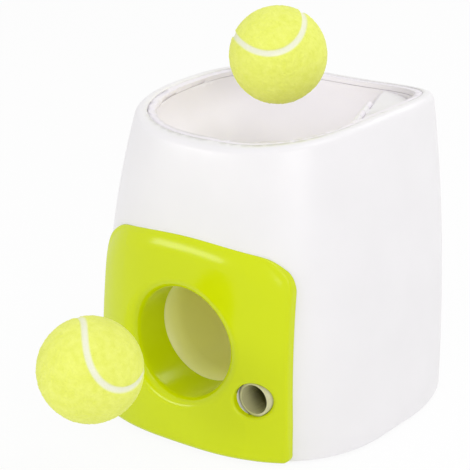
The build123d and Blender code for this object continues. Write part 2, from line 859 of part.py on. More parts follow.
def drum_window(degrees):
    """A window in the drum's skin, centred at an angle from the top towards -X."""
    half = math.tan(math.radians(window_half_angle)) * 2 * drum_radius
    with BuildPart() as window:
        with BuildSketch(Plane.XZ.offset(-drum_mid_y - window_half_length)):
            with Locations(Location((shaft_x, shaft_level, 0), (0, 0, degrees))):
                Polygon((0, 0), (half, 2 * drum_radius), (-half, 2 * drum_radius), align=None)
        extrude(amount=2 * window_half_length)
        add(
            y_cylinder(window_root_radius, shaft_x, shaft_level, drum_front_y, drum_back_y),
            mode=Mode.SUBTRACT,
        )
    return window.part


with BuildPart() as metering_drum:
    add(y_cylinder(drum_radius, shaft_x, shaft_level, drum_front_y, drum_back_y))
    add(
        y_cylinder(
            drum_radius - drum_wall, shaft_x, shaft_level, drum_front_y + drum_disc, drum_back_y - drum_disc
        ),
        mode=Mode.SUBTRACT,
    )
    add(y_cylinder(shaft_radius + drum_wall, shaft_x, shaft_level, drum_front_y, drum_back_y))
    add(drum_window(0), mode=Mode.SUBTRACT)
    add(drum_window(180 - trip_swing), mode=Mode.SUBTRACT)
    add(shaft_bar(running_gap, drum_front_y - cut_overlap, drum_back_y + cut_overlap), mode=Mode.SUBTRACT)
save(metering_drum.part, "metering_drum")

with BuildPart() as shaft_bushes:
    for wall_y, flange_y in ((housing_front_y, bush_face_y), (housing_back_y - end_wall, housing_back_y)):
        add(y_cylinder(bush_radius, shaft_x, shaft_level, wall_y, wall_y + end_wall))
        add(y_cylinder(bush_flange_radius, shaft_x, shaft_level, flange_y, flange_y + bush_flange))
    add(
        y_cylinder(shaft_radius + running_gap, shaft_x, shaft_level, lever_back_y, shaft_back_y),
        mode=Mode.SUBTRACT,
    )
save(shaft_bushes.part, "shaft_bushes")

with BuildPart() as retaining_clips:
    for clip_y in (clip_front_y, clip_back_y):
        add(y_cylinder(clip_radius, shaft_x, shaft_level, clip_y, clip_y + clip_thickness))
    add(
        y_cylinder(groove_radius + running_gap, shaft_x, shaft_level, shaft_front_y, shaft_back_y),
        mode=Mode.SUBTRACT,
    )
    with BuildSketch(Plane.XZ.offset(-shaft_back_y)):
        with Locations((shaft_x, shaft_level - clip_radius)):
            Rectangle(clip_slot_width, 2 * clip_radius)
    extrude(amount=shaft_back_y - shaft_front_y, mode=Mode.SUBTRACT)
save(retaining_clips.part, "retaining_clips")

coil = Helix(
    pitch=spring_pitch,
    height=spring_pitch * spring_turns,
    radius=spring_mean_radius,
    center=(shaft_x, spring_start_y, shaft_level),
    direction=(0, 1, 0),
)


def wire_along(path):
    """Spring wire along one path, drawn with flats so that it has few facets."""
    with BuildPart() as wire:
        with BuildSketch(Plane(path @ 0, z_dir=path % 0)):
            RegularPolygon(spring_wire_radius, spring_flats)
        sweep(path=path)
    return wire.part


with BuildPart() as return_spring:
    add(wire_along(coil))
    for end in (coil @ 0, coil @ 1):
        leg_end = end.X + spring_wire_radius
        add(x_cylinder(spring_wire_radius, end.Y, end.Z, end.X - spring_leg, leg_end))
save(return_spring.part, "return_spring")

# --- drum housing and its cover ---
cover_bosses = []
for angle in cover_boss_angles:
    reach = housing_radius + cover_boss_radius - lug_root
    aim = math.radians(angle)
    cover_bosses.append((shaft_x + reach * math.cos(aim), shaft_level + reach * math.sin(aim)))
cover_front_y = housing_back_y - end_wall
spout_radius = treat_tube_radius
spout_bore = treat_tube_radius - treat_tube_wall


def rounded_column(half_width, half_length, bottom, top):
    """An upright column over the drum, rectangular with rounded corners."""
    with BuildPart() as form:
        with BuildSketch(Plane.XY.offset(bottom)):
            with Locations((shaft_x, drum_mid_y)):
                RectangleRounded(2 * half_width, 2 * half_length, inlet_round)
        extrude(amount=top - bottom)
    return form.part


def ear_plate(bottom, top):
    """The plate with two ears that joins the housing to the hopper."""
    with BuildPart() as form:
        with BuildSketch(Plane.XY.offset(bottom)):
            with Locations((shaft_x, drum_mid_y)):
                SlotCenterToCenter(2 * inlet_ear_reach, 2 * boss_radius, rotation=90)
        extrude(amount=top - bottom)
    return form.part


neck_screw_places = [
    (shaft_x, drum_mid_y - inlet_ear_reach),
    (shaft_x, drum_mid_y + inlet_ear_reach),
]
inlet_outer_width = inlet_half_width + inlet_wall
inlet_outer_length = inlet_half_length + inlet_wall

with BuildPart() as drum_housing:
    add(y_cylinder(housing_radius, shaft_x, shaft_level, housing_front_y, cover_front_y))
    for x, level in cover_bosses:
        add(y_cylinder(cover_boss_radius, x, level, cover_front_y - cover_boss_length, cover_front_y))
    add(rounded_column(inlet_outer_width, inlet_outer_length, shaft_level + drum_radius / 2, inlet_level))
    add(ear_plate(inlet_level - inlet_flange, inlet_level))
    add(z_cylinder(spout_radius, shaft_x, drum_mid_y, spout_level, shaft_level - drum_radius))
    add(
        y_cylinder(
            housing_inner_radius, shaft_x, shaft_level, housing_front_y + end_wall, cover_front_y
        ),
        mode=Mode.SUBTRACT,
    )
    add(
        y_cylinder(
            peg_radius, shaft_x - peg_offset, shaft_level - peg_drop, spring_end_y, housing_front_y
        )
    )
    add(rounded_column(inlet_half_width, inlet_half_length, shaft_level, inlet_level), mode=Mode.SUBTRACT)
    add(z_cylinder(spout_bore, shaft_x, drum_mid_y, spout_level, shaft_level), mode=Mode.SUBTRACT)
    add(
        y_cylinder(bush_radius, shaft_x, shaft_level, housing_front_y, housing_front_y + end_wall),
        mode=Mode.SUBTRACT,
    )
    for x, level in cover_bosses:
        add(
            y_cylinder(
                screw_radius + running_gap, x, level, cover_front_y - cover_boss_length, cover_front_y
            ),
            mode=Mode.SUBTRACT,
        )
    for place in neck_screw_places:
        add(
            z_cylinder(screw_radius + slip_gap, *place, inlet_level - inlet_flange, inlet_level),
            mode=Mode.SUBTRACT,
        )
save(drum_housing.part, "drum_housing")

with BuildPart() as housing_cover:
    add(y_cylinder(housing_radius, shaft_x, shaft_level, cover_front_y, housing_back_y))
    for x, level in cover_bosses:
        add(y_cylinder(cover_boss_radius, x, level, cover_front_y, housing_back_y))
        add(
            y_cylinder(screw_radius + slip_gap, x, level, cover_front_y, housing_back_y),
            mode=Mode.SUBTRACT,
        )
    add(
        y_cylinder(bush_radius, shaft_x, shaft_level, cover_front_y, housing_back_y),
        mode=Mode.SUBTRACT,
    )
save(housing_cover.part, "housing_cover")

cover_planes = [
    Plane((x, housing_back_y, level), (1, 0, 0), (0, 1, 0)).location for x, level in cover_bosses
]
cover_screws = Compound(screws_at(cover_planes, short_screw_length))
save(cover_screws, "cover_screws")

# --- treat hopper ---
hopper_neck_level = inlet_level + joint_gap
skirt_grow = skirt_wall + slip_gap
neck_screw_tip = hopper_neck_level + short_screw_length - inlet_flange


def hopper_form(grow, neck_width, neck_length, top):
    """The hopper's funnel shape as a solid, from its neck up to its straight mouth."""
    neck = plan_face(
        hopper_neck_level, neck_width, neck_length, neck_power, (shaft_x, drum_mid_y)
    )
    mouth = plan_face(
        hopper_shoulder_level - hopper_ear_thickness,
        mouth_half_width + grow,
        mouth_half_length + grow,
        mouth_power,
        mouth_middle,
        hatch_turn,
    )
    with BuildPart() as form:
        loft([neck, mouth])
    return form.part + column(mouth, top)


with BuildPart() as treat_hopper:
    add(hopper_form(hopper_grow, inlet_outer_width, inlet_outer_length, hopper_top_level))
    for place in ear_places:
        add(
            ear_form(
                place, 0, hopper_shoulder_level, hopper_shoulder_level + hopper_ear_thickness
            )
        )
    add(ear_plate(hopper_neck_level, neck_screw_tip + cut_overlap))
    add(
        hopper_form(skirt_grow, inlet_half_width, inlet_half_length, hopper_top_level),
        mode=Mode.SUBTRACT,
    )
    for place in ear_places:
        add(
            z_cylinder(screw_radius + slip_gap, *place, skirt_bottom_level, hopper_top_level),
            mode=Mode.SUBTRACT,
        )
    for place in neck_screw_places:
        add(
            z_cylinder(
                screw_radius + running_gap,
                *place,
                hopper_neck_level,
                neck_screw_tip + screw_tip_gap,
            ),
            mode=Mode.SUBTRACT,
        )
save(treat_hopper.part, "treat_hopper")


def upright_planes(places, level):
    """Planes facing down at one height, for screws driven up from below."""
    return [Plane((x, y, level), (1, 0, 0), (0, 0, -1)).location for x, y in places]


hopper_screws = Compound(
    screws_at(upright_planes(ear_places, hopper_shoulder_level), short_screw_length)
)
save(hopper_screws, "hopper_screws")
neck_screws = Compound(
    screws_at(upright_planes(neck_screw_places, inlet_level - inlet_flange), short_screw_length)
)
save(neck_screws, "neck_screws")

# --- treat chute and outlet sleeve ---
tube_top_level = spout_level - joint_gap
tube_path = FilletPolyline(
    (shaft_x, drum_mid_y, tube_top_level),
    (shaft_x, drum_mid_y, tube_top_level - tube_drop),
    (treat_x, tube_end_y + tube_straight, treat_level),
    (treat_x, tube_end_y, treat_level),
    radius=treat_tube_bend,
)


def tube_along(radius):
    """A round bar along the treat chute's path."""
    with BuildPart() as bar:
        with BuildSketch(Plane.XY.offset(tube_top_level)):
            with Locations((shaft_x, drum_mid_y)):
                Circle(radius)
        sweep(path=tube_path)
    return bar.part


with BuildPart() as treat_chute:
    add(tube_along(treat_tube_radius))
    add(
        z_cylinder(
            treat_tube_radius + slip_gap + treat_tube_wall,
            shaft_x,
            drum_mid_y,
            tube_top_level - treat_tube_socket,
            tube_top_level + treat_tube_socket,
        )
    )
    add(
        z_cylinder(
            treat_tube_radius + slip_gap,
            shaft_x,
            drum_mid_y,
            tube_top_level,
            tube_top_level + treat_tube_socket,
        ),
        mode=Mode.SUBTRACT,
    )
    add(tube_along(treat_tube_radius - treat_tube_wall), mode=Mode.SUBTRACT)
save(treat_chute.part, "treat_chute")

sleeve_radius = treat_hole_radius - slip_gap
sleeve_front_y = front_y(treat_x, treat_level, -panel_proud) + sleeve_recess
sleeve_step_y = tube_end_y - joint_gap
sleeve_ring_radius = treat_tube_radius + slip_gap + treat_tube_wall
with BuildPart() as treat_outlet_sleeve:
    add(y_cylinder(sleeve_radius, treat_x, treat_level, sleeve_front_y, sleeve_step_y))
    add(
        y_cylinder(
            sleeve_ring_radius,
            treat_x,
            treat_level,
            sleeve_step_y - treat_tube_wall,
            sleeve_step_y + treat_tube_socket,
        )
    )
    add(
        y_cylinder(
            treat_tube_radius + slip_gap,
            treat_x,
            treat_level,
            sleeve_step_y,
            sleeve_step_y + treat_tube_socket,
        ),
        mode=Mode.SUBTRACT,
    )
    add(
        y_cylinder(sleeve_radius - sleeve_wall, treat_x, treat_level, sleeve_front_y, sleeve_step_y),
        mode=Mode.SUBTRACT,
    )
save(treat_outlet_sleeve.part, "treat_outlet_sleeve")

# --- base plate, its screws and pads ---
pad_places = [body_point(angle, pad_inset) for angle in pad_angles] + [(0, 0)]
cradle_mid_y = cradle_back_y - (cradle_rib + cradle_spacing) / 2
cradle_screw_places = [(-cradle_screw_x, cradle_mid_y), (cradle_screw_x, cradle_mid_y)]
with BuildPart() as base_plate:
    extrude(body_face(casing_bottom, casing_wall + joint_gap), base_thickness)
    extrude(body_face(base_top, base_rib_inset), base_rib_height)
    extrude(body_face(base_top, base_rib_inset + base_rib), base_rib_height, mode=Mode.SUBTRACT)
    for place in pad_places:
        add(z_cylinder(pad_stem_radius, *place, casing_bottom, base_top), mode=Mode.SUBTRACT)
    for place in boss_places:
        add(z_cylinder(screw_radius + slip_gap, *place, casing_bottom, base_top), mode=Mode.SUBTRACT)
        add(
            z_cylinder(
                screw_head_radius + joint_gap, *place, casing_bottom, casing_bottom + screw_sink
            ),
            mode=Mode.SUBTRACT,
        )
    for place in cradle_screw_places:
        add(
            z_cylinder(screw_radius + running_gap, *place, casing_bottom, base_top),
            mode=Mode.SUBTRACT,
        )
save(base_plate.part, "base_plate")

base_screws = Compound(screws_at(upright_planes(boss_places, casing_bottom + screw_sink)))
save(base_screws, "base_screws")

with BuildPart() as rubber_pads:
    for place in pad_places:
        add(z_cylinder(pad_radius, *place, 0, casing_bottom))
        add(z_cylinder(pad_stem_radius, *place, casing_bottom, base_top))
        add(z_cylinder(pad_button_radius, *place, base_top, base_top + pad_button_height))
    chamfer(rubber_pads.edges().group_by(Axis.Z)[0], pad_edge)
save(rubber_pads.part, "rubber_pads")

# --- chute cradle and the remaining screws ---
with BuildPart() as chute_cradle:
    with BuildSketch(Plane.XZ.offset(-cradle_back_y)):
        with Locations((0, (base_top + cradle_height) / 2)):
            Rectangle(2 * cradle_half_width, cradle_height - base_top)
        with Locations((0, exit_level)):
            Circle(chute_radius + joint_gap, mode=Mode.SUBTRACT)
    extrude(amount=cradle_rib)
    add(chute_cradle.part.moved(Location((0, -cradle_spacing, 0))))
    with BuildSketch(Plane.XY.offset(base_top)):
        with Locations((0, cradle_mid_y)):
            Rectangle(2 * cradle_half_width, cradle_rib + cradle_spacing)
    extrude(amount=cradle_foot)
    for place in cradle_screw_places:
        add(
            z_cylinder(screw_radius + slip_gap, *place, base_top, base_top + cradle_foot),
            mode=Mode.SUBTRACT,
        )
save(chute_cradle.part, "chute_cradle")

cradle_screw_length = cradle_foot + base_thickness - screw_tip_gap
cradle_screws = Compound(
    screws_at(
        [Location((x, y, base_top + cradle_foot)) for x, y in cradle_screw_places],
        cradle_screw_length,
    )
)
save(cradle_screws, "cradle_screws")

panel_screws = Compound(
    screws_at(
        [
            Plane((x, seat, level), (1, 0, 0), (0, 1, 0)).location
            for (x, level), seat in zip(panel_screw_places, panel_screw_seats)
        ],
        short_screw_length,
    )
)
save(panel_screws, "panel_screws")

# --- tennis balls ---
for label, place in (
    ("tennis_ball_top", (0, 0, top_ball_level)),
    ("tennis_ball_front", front_ball_place),
):
    with BuildPart(Location(place)) as ball:
        Sphere(ball_radius)
        Sphere(ball_radius - ball_wall, mode=Mode.SUBTRACT)
    save(ball.part, label)
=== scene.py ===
import json
import math

import bmesh
import bpy
from mathutils import Matrix, Vector, kdtree, noise


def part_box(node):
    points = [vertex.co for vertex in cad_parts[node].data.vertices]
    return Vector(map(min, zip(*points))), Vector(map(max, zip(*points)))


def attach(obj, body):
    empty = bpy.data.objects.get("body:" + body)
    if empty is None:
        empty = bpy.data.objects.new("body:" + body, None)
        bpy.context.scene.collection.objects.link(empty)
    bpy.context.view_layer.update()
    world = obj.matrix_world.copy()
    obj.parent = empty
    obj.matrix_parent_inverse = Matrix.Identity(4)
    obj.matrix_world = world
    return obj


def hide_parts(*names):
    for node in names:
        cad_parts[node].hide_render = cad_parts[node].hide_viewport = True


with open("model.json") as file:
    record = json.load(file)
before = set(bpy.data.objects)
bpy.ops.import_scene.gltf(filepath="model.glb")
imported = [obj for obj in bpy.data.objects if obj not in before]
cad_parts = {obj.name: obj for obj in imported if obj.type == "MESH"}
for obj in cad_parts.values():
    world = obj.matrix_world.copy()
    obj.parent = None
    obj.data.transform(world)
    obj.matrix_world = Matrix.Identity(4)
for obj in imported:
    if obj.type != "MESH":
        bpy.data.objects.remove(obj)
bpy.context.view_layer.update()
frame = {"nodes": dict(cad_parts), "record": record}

# Ball and treat machine for dogs: white moulded casing, lime panel, felt tennis balls.
# Metres, +Z up, the front faces -Y.
MM = 0.001
scene = bpy.context.scene
solids = frame["nodes"]
BODIES = {
    node: body for body, nodes in frame["record"]["behaviour"]["bodies"].items() for node in nodes
}


# --- node helpers ---
def linear(hex_colour):
    """An sRGB hex colour as linear RGBA."""
    channels = [int(hex_colour[i:i + 2], 16) / 255 for i in (1, 3, 5)]
    return [c / 12.92 if c <= 0.04045 else ((c + 0.055) / 1.055) ** 2.4 for c in channels] + [1.0]


def add_node(tree, kind, settings=None, **links):
    """Adds one node; settings go on it or its sockets, links join its inputs to outputs."""
    made = tree.nodes.new(kind)
    for key, value in (settings or {}).items():
        if hasattr(made, key):
            setattr(made, key, value)
        else:
            made.inputs[key].default_value = value
    for key, output in links.items():
        tree.links.new(output, made.inputs[key.replace("_", " ")])
    return made


def new_material(name):
    """An empty node material with its tree and its output node."""
    material = bpy.data.materials.new(name)
    material.use_nodes = True
    material.node_tree.nodes.clear()
    return material, material.node_tree


def noise_field(tree, place, size_mm, detail):
    """The factor of a noise texture whose features are about size_mm across."""
    settings = {"Scale": 1 / (size_mm * MM), "Detail": detail}
    return add_node(tree, "ShaderNodeTexNoise", settings, Vector=place).outputs["Fac"]


FLOW_MM = 45  # slow change of tone along the melt's flow
HAZE_MM = 14  # patches left by handling
HAZE_RANGE = (0.85, 1.2)  # share of the roughness at the haze's two ends


def moulded_plastic(name, colour, settings, peel_mm=1.6, peel_depth=0.012, tone=0.03):
    """Injection-moulded plastic: faint flow tone, orange peel from the tool, handling haze."""
    material, tree = new_material(name)
    place = add_node(tree, "ShaderNodeTexCoord").outputs["Object"]
    flow = noise_field(tree, place, FLOW_MM, 3.0)
    peel = noise_field(tree, place, peel_mm, 2.0)
    haze = noise_field(tree, place, HAZE_MM, 5.0)
    lighter = linear(colour)
    darker = [c * (1 - 2 * tone) for c in lighter[:3]] + [1.0]
    tint = add_node(tree, "ShaderNodeMix", {"data_type": "RGBA"}, Factor=flow)
    tint.inputs["A"].default_value = darker
    tint.inputs["B"].default_value = lighter
    least, most = (settings["Roughness"] * share for share in HAZE_RANGE)
    spread = add_node(
        tree,
        "ShaderNodeMapRange",
        {"From Min": 0.3, "From Max": 0.7, "To Min": least, "To Max": most},
        Value=haze,
    )
    bump = add_node(
        tree, "ShaderNodeBump", {"Strength": 0.35, "Distance": peel_depth * MM}, Height=peel
    )
    surface = add_node(
        tree,
        "ShaderNodeBsdfPrincipled",
        settings,
        Roughness=spread.outputs["Result"],
        Normal=bump.outputs["Normal"],
    )
    tree.links.new(tint.outputs["Result"], surface.inputs["Base Color"])
    add_node(tree, "ShaderNodeOutputMaterial", Surface=surface.outputs["BSDF"])
    return material


# --- materials ---
# White ABS from a satin tool: soft wide highlights, no grain that the eye picks out.
white_abs = moulded_plastic("white_abs_satin", "#F3F1F3", {"Roughness": 0.34, "IOR": 1.53})
# Funnel moulding: same ABS, a shade duller because the tool isn't polished inside. Its colour is
# painted lighter and bluer than the casing's white: painted light in the shaded bowl, against the
# yellow light the balls throw into it.
funnel_abs_painted_light = moulded_plastic("white_abs_inner_painted_light", "#F6F1F8", {"Roughness": 0.42, "IOR": 1.53})
# Lime ABS from a polished tool: sharp highlights along the rolled edge.
lime_abs = moulded_plastic(
    "lime_abs_gloss",
    "#D2E000",
    {"Roughness": 0.16, "IOR": 1.54, "Specular IOR Level": 0.26},
    peel_mm=3.0,
    tone=0.02,
)
# Lime ABS of the chute behind the panel, left as moulded: less shine than the panel. Its pale
# yellow is partly its own colour and partly painted light: lightened so that the dark cavity
# behind the dish looks bright.
chute_abs_painted_light = moulded_plastic("lime_abs_inner_painted_light", "#F8F5A8", {"Roughness": 0.4, "IOR": 1.54})
# Cream ABS of the treat parts, as moulded. Its colour is partly its own and partly painted shade:
# darkened so that the inside of the treat outlet looks dark.
cream_abs = moulded_plastic("cream_abs", "#D6D3A6", {"Roughness": 0.36, "IOR": 1.53})
# Natural acetal: waxy, slightly see-through white of the lever and the drum.
acetal = moulded_plastic(
    "natural_acetal",
    "#EDEBE2",
    {"Roughness": 0.38, "IOR": 1.48, "Subsurface Weight": 0.1, "Subsurface Scale": 0.002},
)
# Moulded rubber of the pads: matt with a fine stipple.
pad_rubber = moulded_plastic(
    "moulded_rubber", "#2A2A2B", {"Roughness": 0.75, "IOR": 1.52}, peel_mm=0.9, peel_depth=0.08
)


def zinc_steel():
    """Zinc-plated steel: turned marks about 0.4 mm apart and duller patches of 5 mm."""
    material, tree = new_material("zinc_plated_steel")
    place = add_node(tree, "ShaderNodeTexCoord").outputs["Object"]
    marks = noise_field(tree, place, 0.4, 2.0)
    patch = noise_field(tree, place, 5, 4.0)
    rough = add_node(tree, "ShaderNodeMapRange", {"To Min": 0.26, "To Max": 0.42}, Value=patch)
    bump = add_node(tree, "ShaderNodeBump", {"Strength": 0.3, "Distance": 0.01 * MM}, Height=marks)
    surface = add_node(
        tree,
        "ShaderNodeBsdfPrincipled",
        {"Metallic": 1.0, "Base Color": linear("#C9CACC")},
        Roughness=rough.outputs["Result"],
        Normal=bump.outputs["Normal"],
    )
    add_node(tree, "ShaderNodeOutputMaterial", Surface=surface.outputs["BSDF"])
    return material


def tennis_felt():
    """Napped nylon and wool felt with its pale rubber seam."""
    material, tree = new_material("napped_felt")
    place = add_node(tree, "ShaderNodeTexCoord").outputs["Object"]
    seam = add_node(tree, "ShaderNodeAttribute", {"attribute_name": "seam"}).outputs["Fac"]
    # Real nap is about 0.2 mm; drawn at 0.9 mm so that it shows.
    nap = noise_field(tree, place, 0.9, 6.0)
    tufts = noise_field(tree, place, 4.5, 4.0)
    cloth = add_node(tree, "ShaderNodeMix", {"data_type": "RGBA"}, Factor=tufts)
    cloth.inputs["A"].default_value = linear("#E2EA50")
    cloth.inputs["B"].default_value = linear("#F8FD86")
    colour = add_node(tree, "ShaderNodeMix", {"data_type": "RGBA"}, Factor=seam)
    tree.links.new(cloth.outputs["Result"], colour.inputs["A"])
    colour.inputs["B"].default_value = linear("#F2F3DC")
    height = add_node(tree, "ShaderNodeMath", {"operation": "ADD"})
    tree.links.new(nap, height.inputs[0])
    tree.links.new(tufts, height.inputs[1])
    bump = add_node(
        tree, "ShaderNodeBump", {"Strength": 0.7, "Distance": 0.5 * MM}, Height=height.outputs[0]
    )
    surface = add_node(
        tree,
        "ShaderNodeBsdfPrincipled",
        {
            "Roughness": 0.95,
            "IOR": 1.45,
            "Sheen Weight": 0.45,
            "Sheen Roughness": 0.5,
            "Sheen Tint": linear("#FBFFB0"),
        },
        Normal=bump.outputs["Normal"],
    )
    tree.links.new(colour.outputs["Result"], surface.inputs["Base Color"])
    add_node(tree, "ShaderNodeOutputMaterial", Surface=surface.outputs["BSDF"])
    return material


zinc = zinc_steel()
felt = tennis_felt()

FINISHES = {
    "outer_casing": white_abs,
    "front_panel": lime_abs,
    "funnel_insert": funnel_abs_painted_light,
    "treat_lid": white_abs,
    "lid_hinge_pin": zinc,
    "ball_chute_left": chute_abs_painted_light,
    "ball_chute_right": chute_abs_painted_light,
    "chute_screws": zinc,
    "trip_shaft": zinc,
    "trip_lever": acetal,
    "metering_drum": acetal,
    "shaft_bushes": acetal,
    "retaining_clips": zinc,
    "return_spring": zinc,
    "drum_housing": cream_abs,
    "housing_cover": cream_abs,
    "cover_screws": zinc,
    "treat_hopper": cream_abs,
    "hopper_screws": zinc,
    "neck_screws": zinc,
    "treat_chute": cream_abs,
    "treat_outlet_sleeve": cream_abs,
    "base_plate": white_abs,
    "base_screws": zinc,
    "rubber_pads": pad_rubber,
    "chute_cradle": white_abs,
    "cradle_screws": zinc,
    "panel_screws": zinc,
}
for node, finish in FINISHES.items():
    solids[node].data.materials.clear()
    solids[node].data.materials.append(finish)


# --- smooth mouldings: the frame's own solids, merged and shaded smooth ---
CREASE_DEGREES = 32  # sharper edges than this stay sharp
MERGE_GAP = 0.002 * MM


def stand_in(node, name, mesh):
    """An object of the mesh that replaces a node and rides its body."""
    piece = bpy.data.objects.new(name, mesh)
    scene.collection.objects.link(piece)
    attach(piece, BODIES[node])
    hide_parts(node)


def smooth_moulding(node, name, reshape=None):
    """A merged, smooth-shaded copy of a node stands for it; reshape may work on its mesh."""
    mesh = solids[node].data.copy()
    shell = bmesh.new()
    shell.from_mesh(mesh)
    bmesh.ops.remove_doubles(shell, verts=shell.verts, dist=MERGE_GAP)
    if reshape:
        reshape(shell)
    shell.to_mesh(mesh)
    shell.free()
    mesh.name = name
    for face in mesh.polygons:
        face.use_smooth = True
    mesh.set_sharp_from_angle(angle=math.radians(CREASE_DEGREES))
    stand_in(node, name, mesh)


# --- front panel: squared lower corners, rounder shoulders and a top edge that rolls back ---
# Lengths in mm. A place on the panel is given by x, or by its distance across, and its level.
CASING_TOP = 208  # level at which the taper is complete
CASING_HALF_WIDTH = 107  # at the ground
CASING_HALF_DEPTH = 113
WIDTH_TAPER = 20.8  # lost from the half width at the top
DEPTH_TAPER = 9.6
TAPER_POWER = 2.35
LEAN_BACK = 12  # of the outline's middle at the top
OUTLINE_POWER = 2.7  # of the superellipse, with its growth to the top
POWER_GROWTH = 0.08
PANEL_PROUD = 4.8  # of the casing's front
SKIN_SLACK = 0.09  # a facet's depth below the true outer face
PANEL_SIDE = 78.5  # half the solid panel's width
PANEL_CROWN = 146.0  # level of its top in the middle
CROWN_CURVE = 274.0  # radius of its top edge
SIDE_TRIM = 2.3  # drawn in at the sides, spread over the last SIDE_BAND
SIDE_BAND = 10
TOP_TRIM = 2.3  # the same at the top
TOP_BAND = 18
CORNER_ROUND = 25.0  # of the solid's four corners, about these two middles
LOWER_CORNER = (53.7, 27.0)
UPPER_CORNER = (50.8, 115.8)
LOWER_ROUND = 4.0  # what the lower corners become
LOWER_FADE = 4  # how fast the move dies out towards the corner's middle
SHOULDER_ROUND = 30.0  # what the upper corners become
SHOULDER_EASE = 0.083  # share of CORNER_ROUND that the diagonal draws in
SHOULDER_FADE = 3
ROLL_WIDTH = 14.0  # of the top edge that rolls back
ROLL_RADIUS = 28.0
# Where the mesh is divided finely: above FINE_TOP, and outside CORNER_SIDE below CORNER_TOP.
FINE_TOP = 124
CORNER_SIDE = 50
CORNER_TOP = 30
TOP_CUTS = [126 + 1.25 * step for step in range(17)]
CORNER_CUTS = [3 + 3 * step for step in range(9)]
SIDE_CUTS = [4 * step for step in range(-19, 20)]
CUT_GAP = 0.0005 * MM


def front_face(x, level, proud=0.0):
    """How far forward the casing's front lies, in mm, on a face that stands proud of it."""
    share = level / CASING_TOP
    rise = share**TAPER_POWER
    half_width = CASING_HALF_WIDTH - WIDTH_TAPER * rise + proud
    half_depth = CASING_HALF_DEPTH - DEPTH_TAPER * rise + proud
    power = OUTLINE_POWER + POWER_GROWTH * share
    return LEAN_BACK * rise - half_depth * (1 - (abs(x) / half_width) ** power) ** (1 / power)


def eased(value, start, end):
    """A soft step from 0 at start to 1 at end."""
    share = min(1.0, max(0.0, (value - start) / (end - start)))
    return share * share * (3 - 2 * share)


def squared_corner(across, down):
    """Moves a place, given from a lower corner's middle, out from a wide round to a tight one."""
    reach = math.hypot(across, down)
    wide, narrow = max(across, down) / reach, min(across, down) / reach
    straight = CORNER_ROUND - LOWER_ROUND
    edge = CORNER_ROUND / wide
    if edge * narrow > straight:
        along = straight * (wide + narrow)
        edge = along + math.sqrt(along**2 - 2 * straight**2 + LOWER_ROUND**2)
    stretch = 1 + (edge / CORNER_ROUND - 1) * (reach / CORNER_ROUND) ** LOWER_FADE
    return across * stretch, down * stretch


def panel_place(x, level):
    """Where a place on the panel's outline goes, in mm."""
    side = math.copysign(1, x)
    across = abs(x)
    if across > LOWER_CORNER[0] and level < LOWER_CORNER[1]:
        out, down = squared_corner(across - LOWER_CORNER[0], LOWER_CORNER[1] - level)
        across, level = LOWER_CORNER[0] + out, LOWER_CORNER[1] - down
    if across > UPPER_CORNER[0] and level > UPPER_CORNER[1]:
        out, up = across - UPPER_CORNER[0], level - UPPER_CORNER[1]
        turn = 2 * out * up / (out * out + up * up)
        reach = math.hypot(out, up) / CORNER_ROUND
        shrink = 1 - SHOULDER_EASE * turn**2 * reach**SHOULDER_FADE
        across, level = UPPER_CORNER[0] + out * shrink, UPPER_CORNER[1] + up * shrink
    across -= SIDE_TRIM * eased(across, PANEL_SIDE - SIDE_BAND, PANEL_SIDE)
    level -= TOP_TRIM * eased(level, PANEL_CROWN - TOP_BAND, PANEL_CROWN)
    return side * across, level


def roll_back(x, level):
    """How far the panel's face rolls back near its top edge, in mm."""
    across = abs(x) - (PANEL_SIDE - SIDE_TRIM - SHOULDER_ROUND)
    top = PANEL_CROWN - TOP_TRIM - x * x / (2 * CROWN_CURVE)
    up = level - (top - SHOULDER_ROUND)
    inside, fade = top - level, 1.0
    if across > 0:
        if up <= 0:
            return 0.0
        inside = SHOULDER_ROUND - math.hypot(across, up)
        fade = up * up / (across * across + up * up)
    bend = min(ROLL_WIDTH, max(0.0, ROLL_WIDTH - inside))
    return fade * (ROLL_RADIUS - math.sqrt(ROLL_RADIUS**2 - bend**2))


def near_top(face):
    """Whether a face of the panel reaches into its top."""
    return max(v.co.z for v in face.verts) > FINE_TOP * MM


def near_ground(face):
    """Whether a face of the panel reaches down to its lower corners' level."""
    return min(v.co.z for v in face.verts) < CORNER_TOP * MM


def in_corner(face):
    """Whether a face of the panel reaches into a lower corner."""
    return max(abs(v.co.x) for v in face.verts) > CORNER_SIDE * MM and near_ground(face)


def cut_across(shell, faces, place, normal):
    """Cuts the given faces along one plane."""
    geometry = set(faces)
    for face in faces:
        geometry.update(face.edges)
        geometry.update(face.verts)
    bmesh.ops.bisect_plane(
        shell, geom=list(geometry), dist=CUT_GAP, plane_co=place, plane_no=normal
    )


def shape_panel(shell):
    """Divides the panel's top and lower corners finely, then moves them to their true form."""
    for cuts, wanted in ((TOP_CUTS, near_top), (CORNER_CUTS, in_corner)):
        for level in cuts:
            faces = [face for face in shell.faces if wanted(face)]
            cut_across(shell, faces, (0, 0, level * MM), (0, 0, 1))
    for side in SIDE_CUTS:
        low_too = abs(side) > CORNER_SIDE
        faces = [f for f in shell.faces if near_top(f) or (low_too and near_ground(f))]
        cut_across(shell, faces, (side * MM, 0, 0), (1, 0, 0))
    for vert in shell.verts:
        x, y, level = vert.co / MM
        skin = front_face(x, level, PANEL_PROUD)
        if abs(y - skin) < SKIN_SLACK:
            y = skin
        new_x, new_level = panel_place(x, level)
        face = front_face(new_x, new_level)
        y += face - front_face(x, level)
        proud = (face - y) / (face - front_face(new_x, new_level, PANEL_PROUD))
        y += roll_back(new_x, new_level) * min(1.0, max(0.0, proud))
        vert.co = Vector((new_x, y, new_level)) * MM


RESHAPED = {"front_panel": shape_panel}
for node in FINISHES:
    smooth_moulding(node, node + "_moulding", reshape=RESHAPED.get(node))

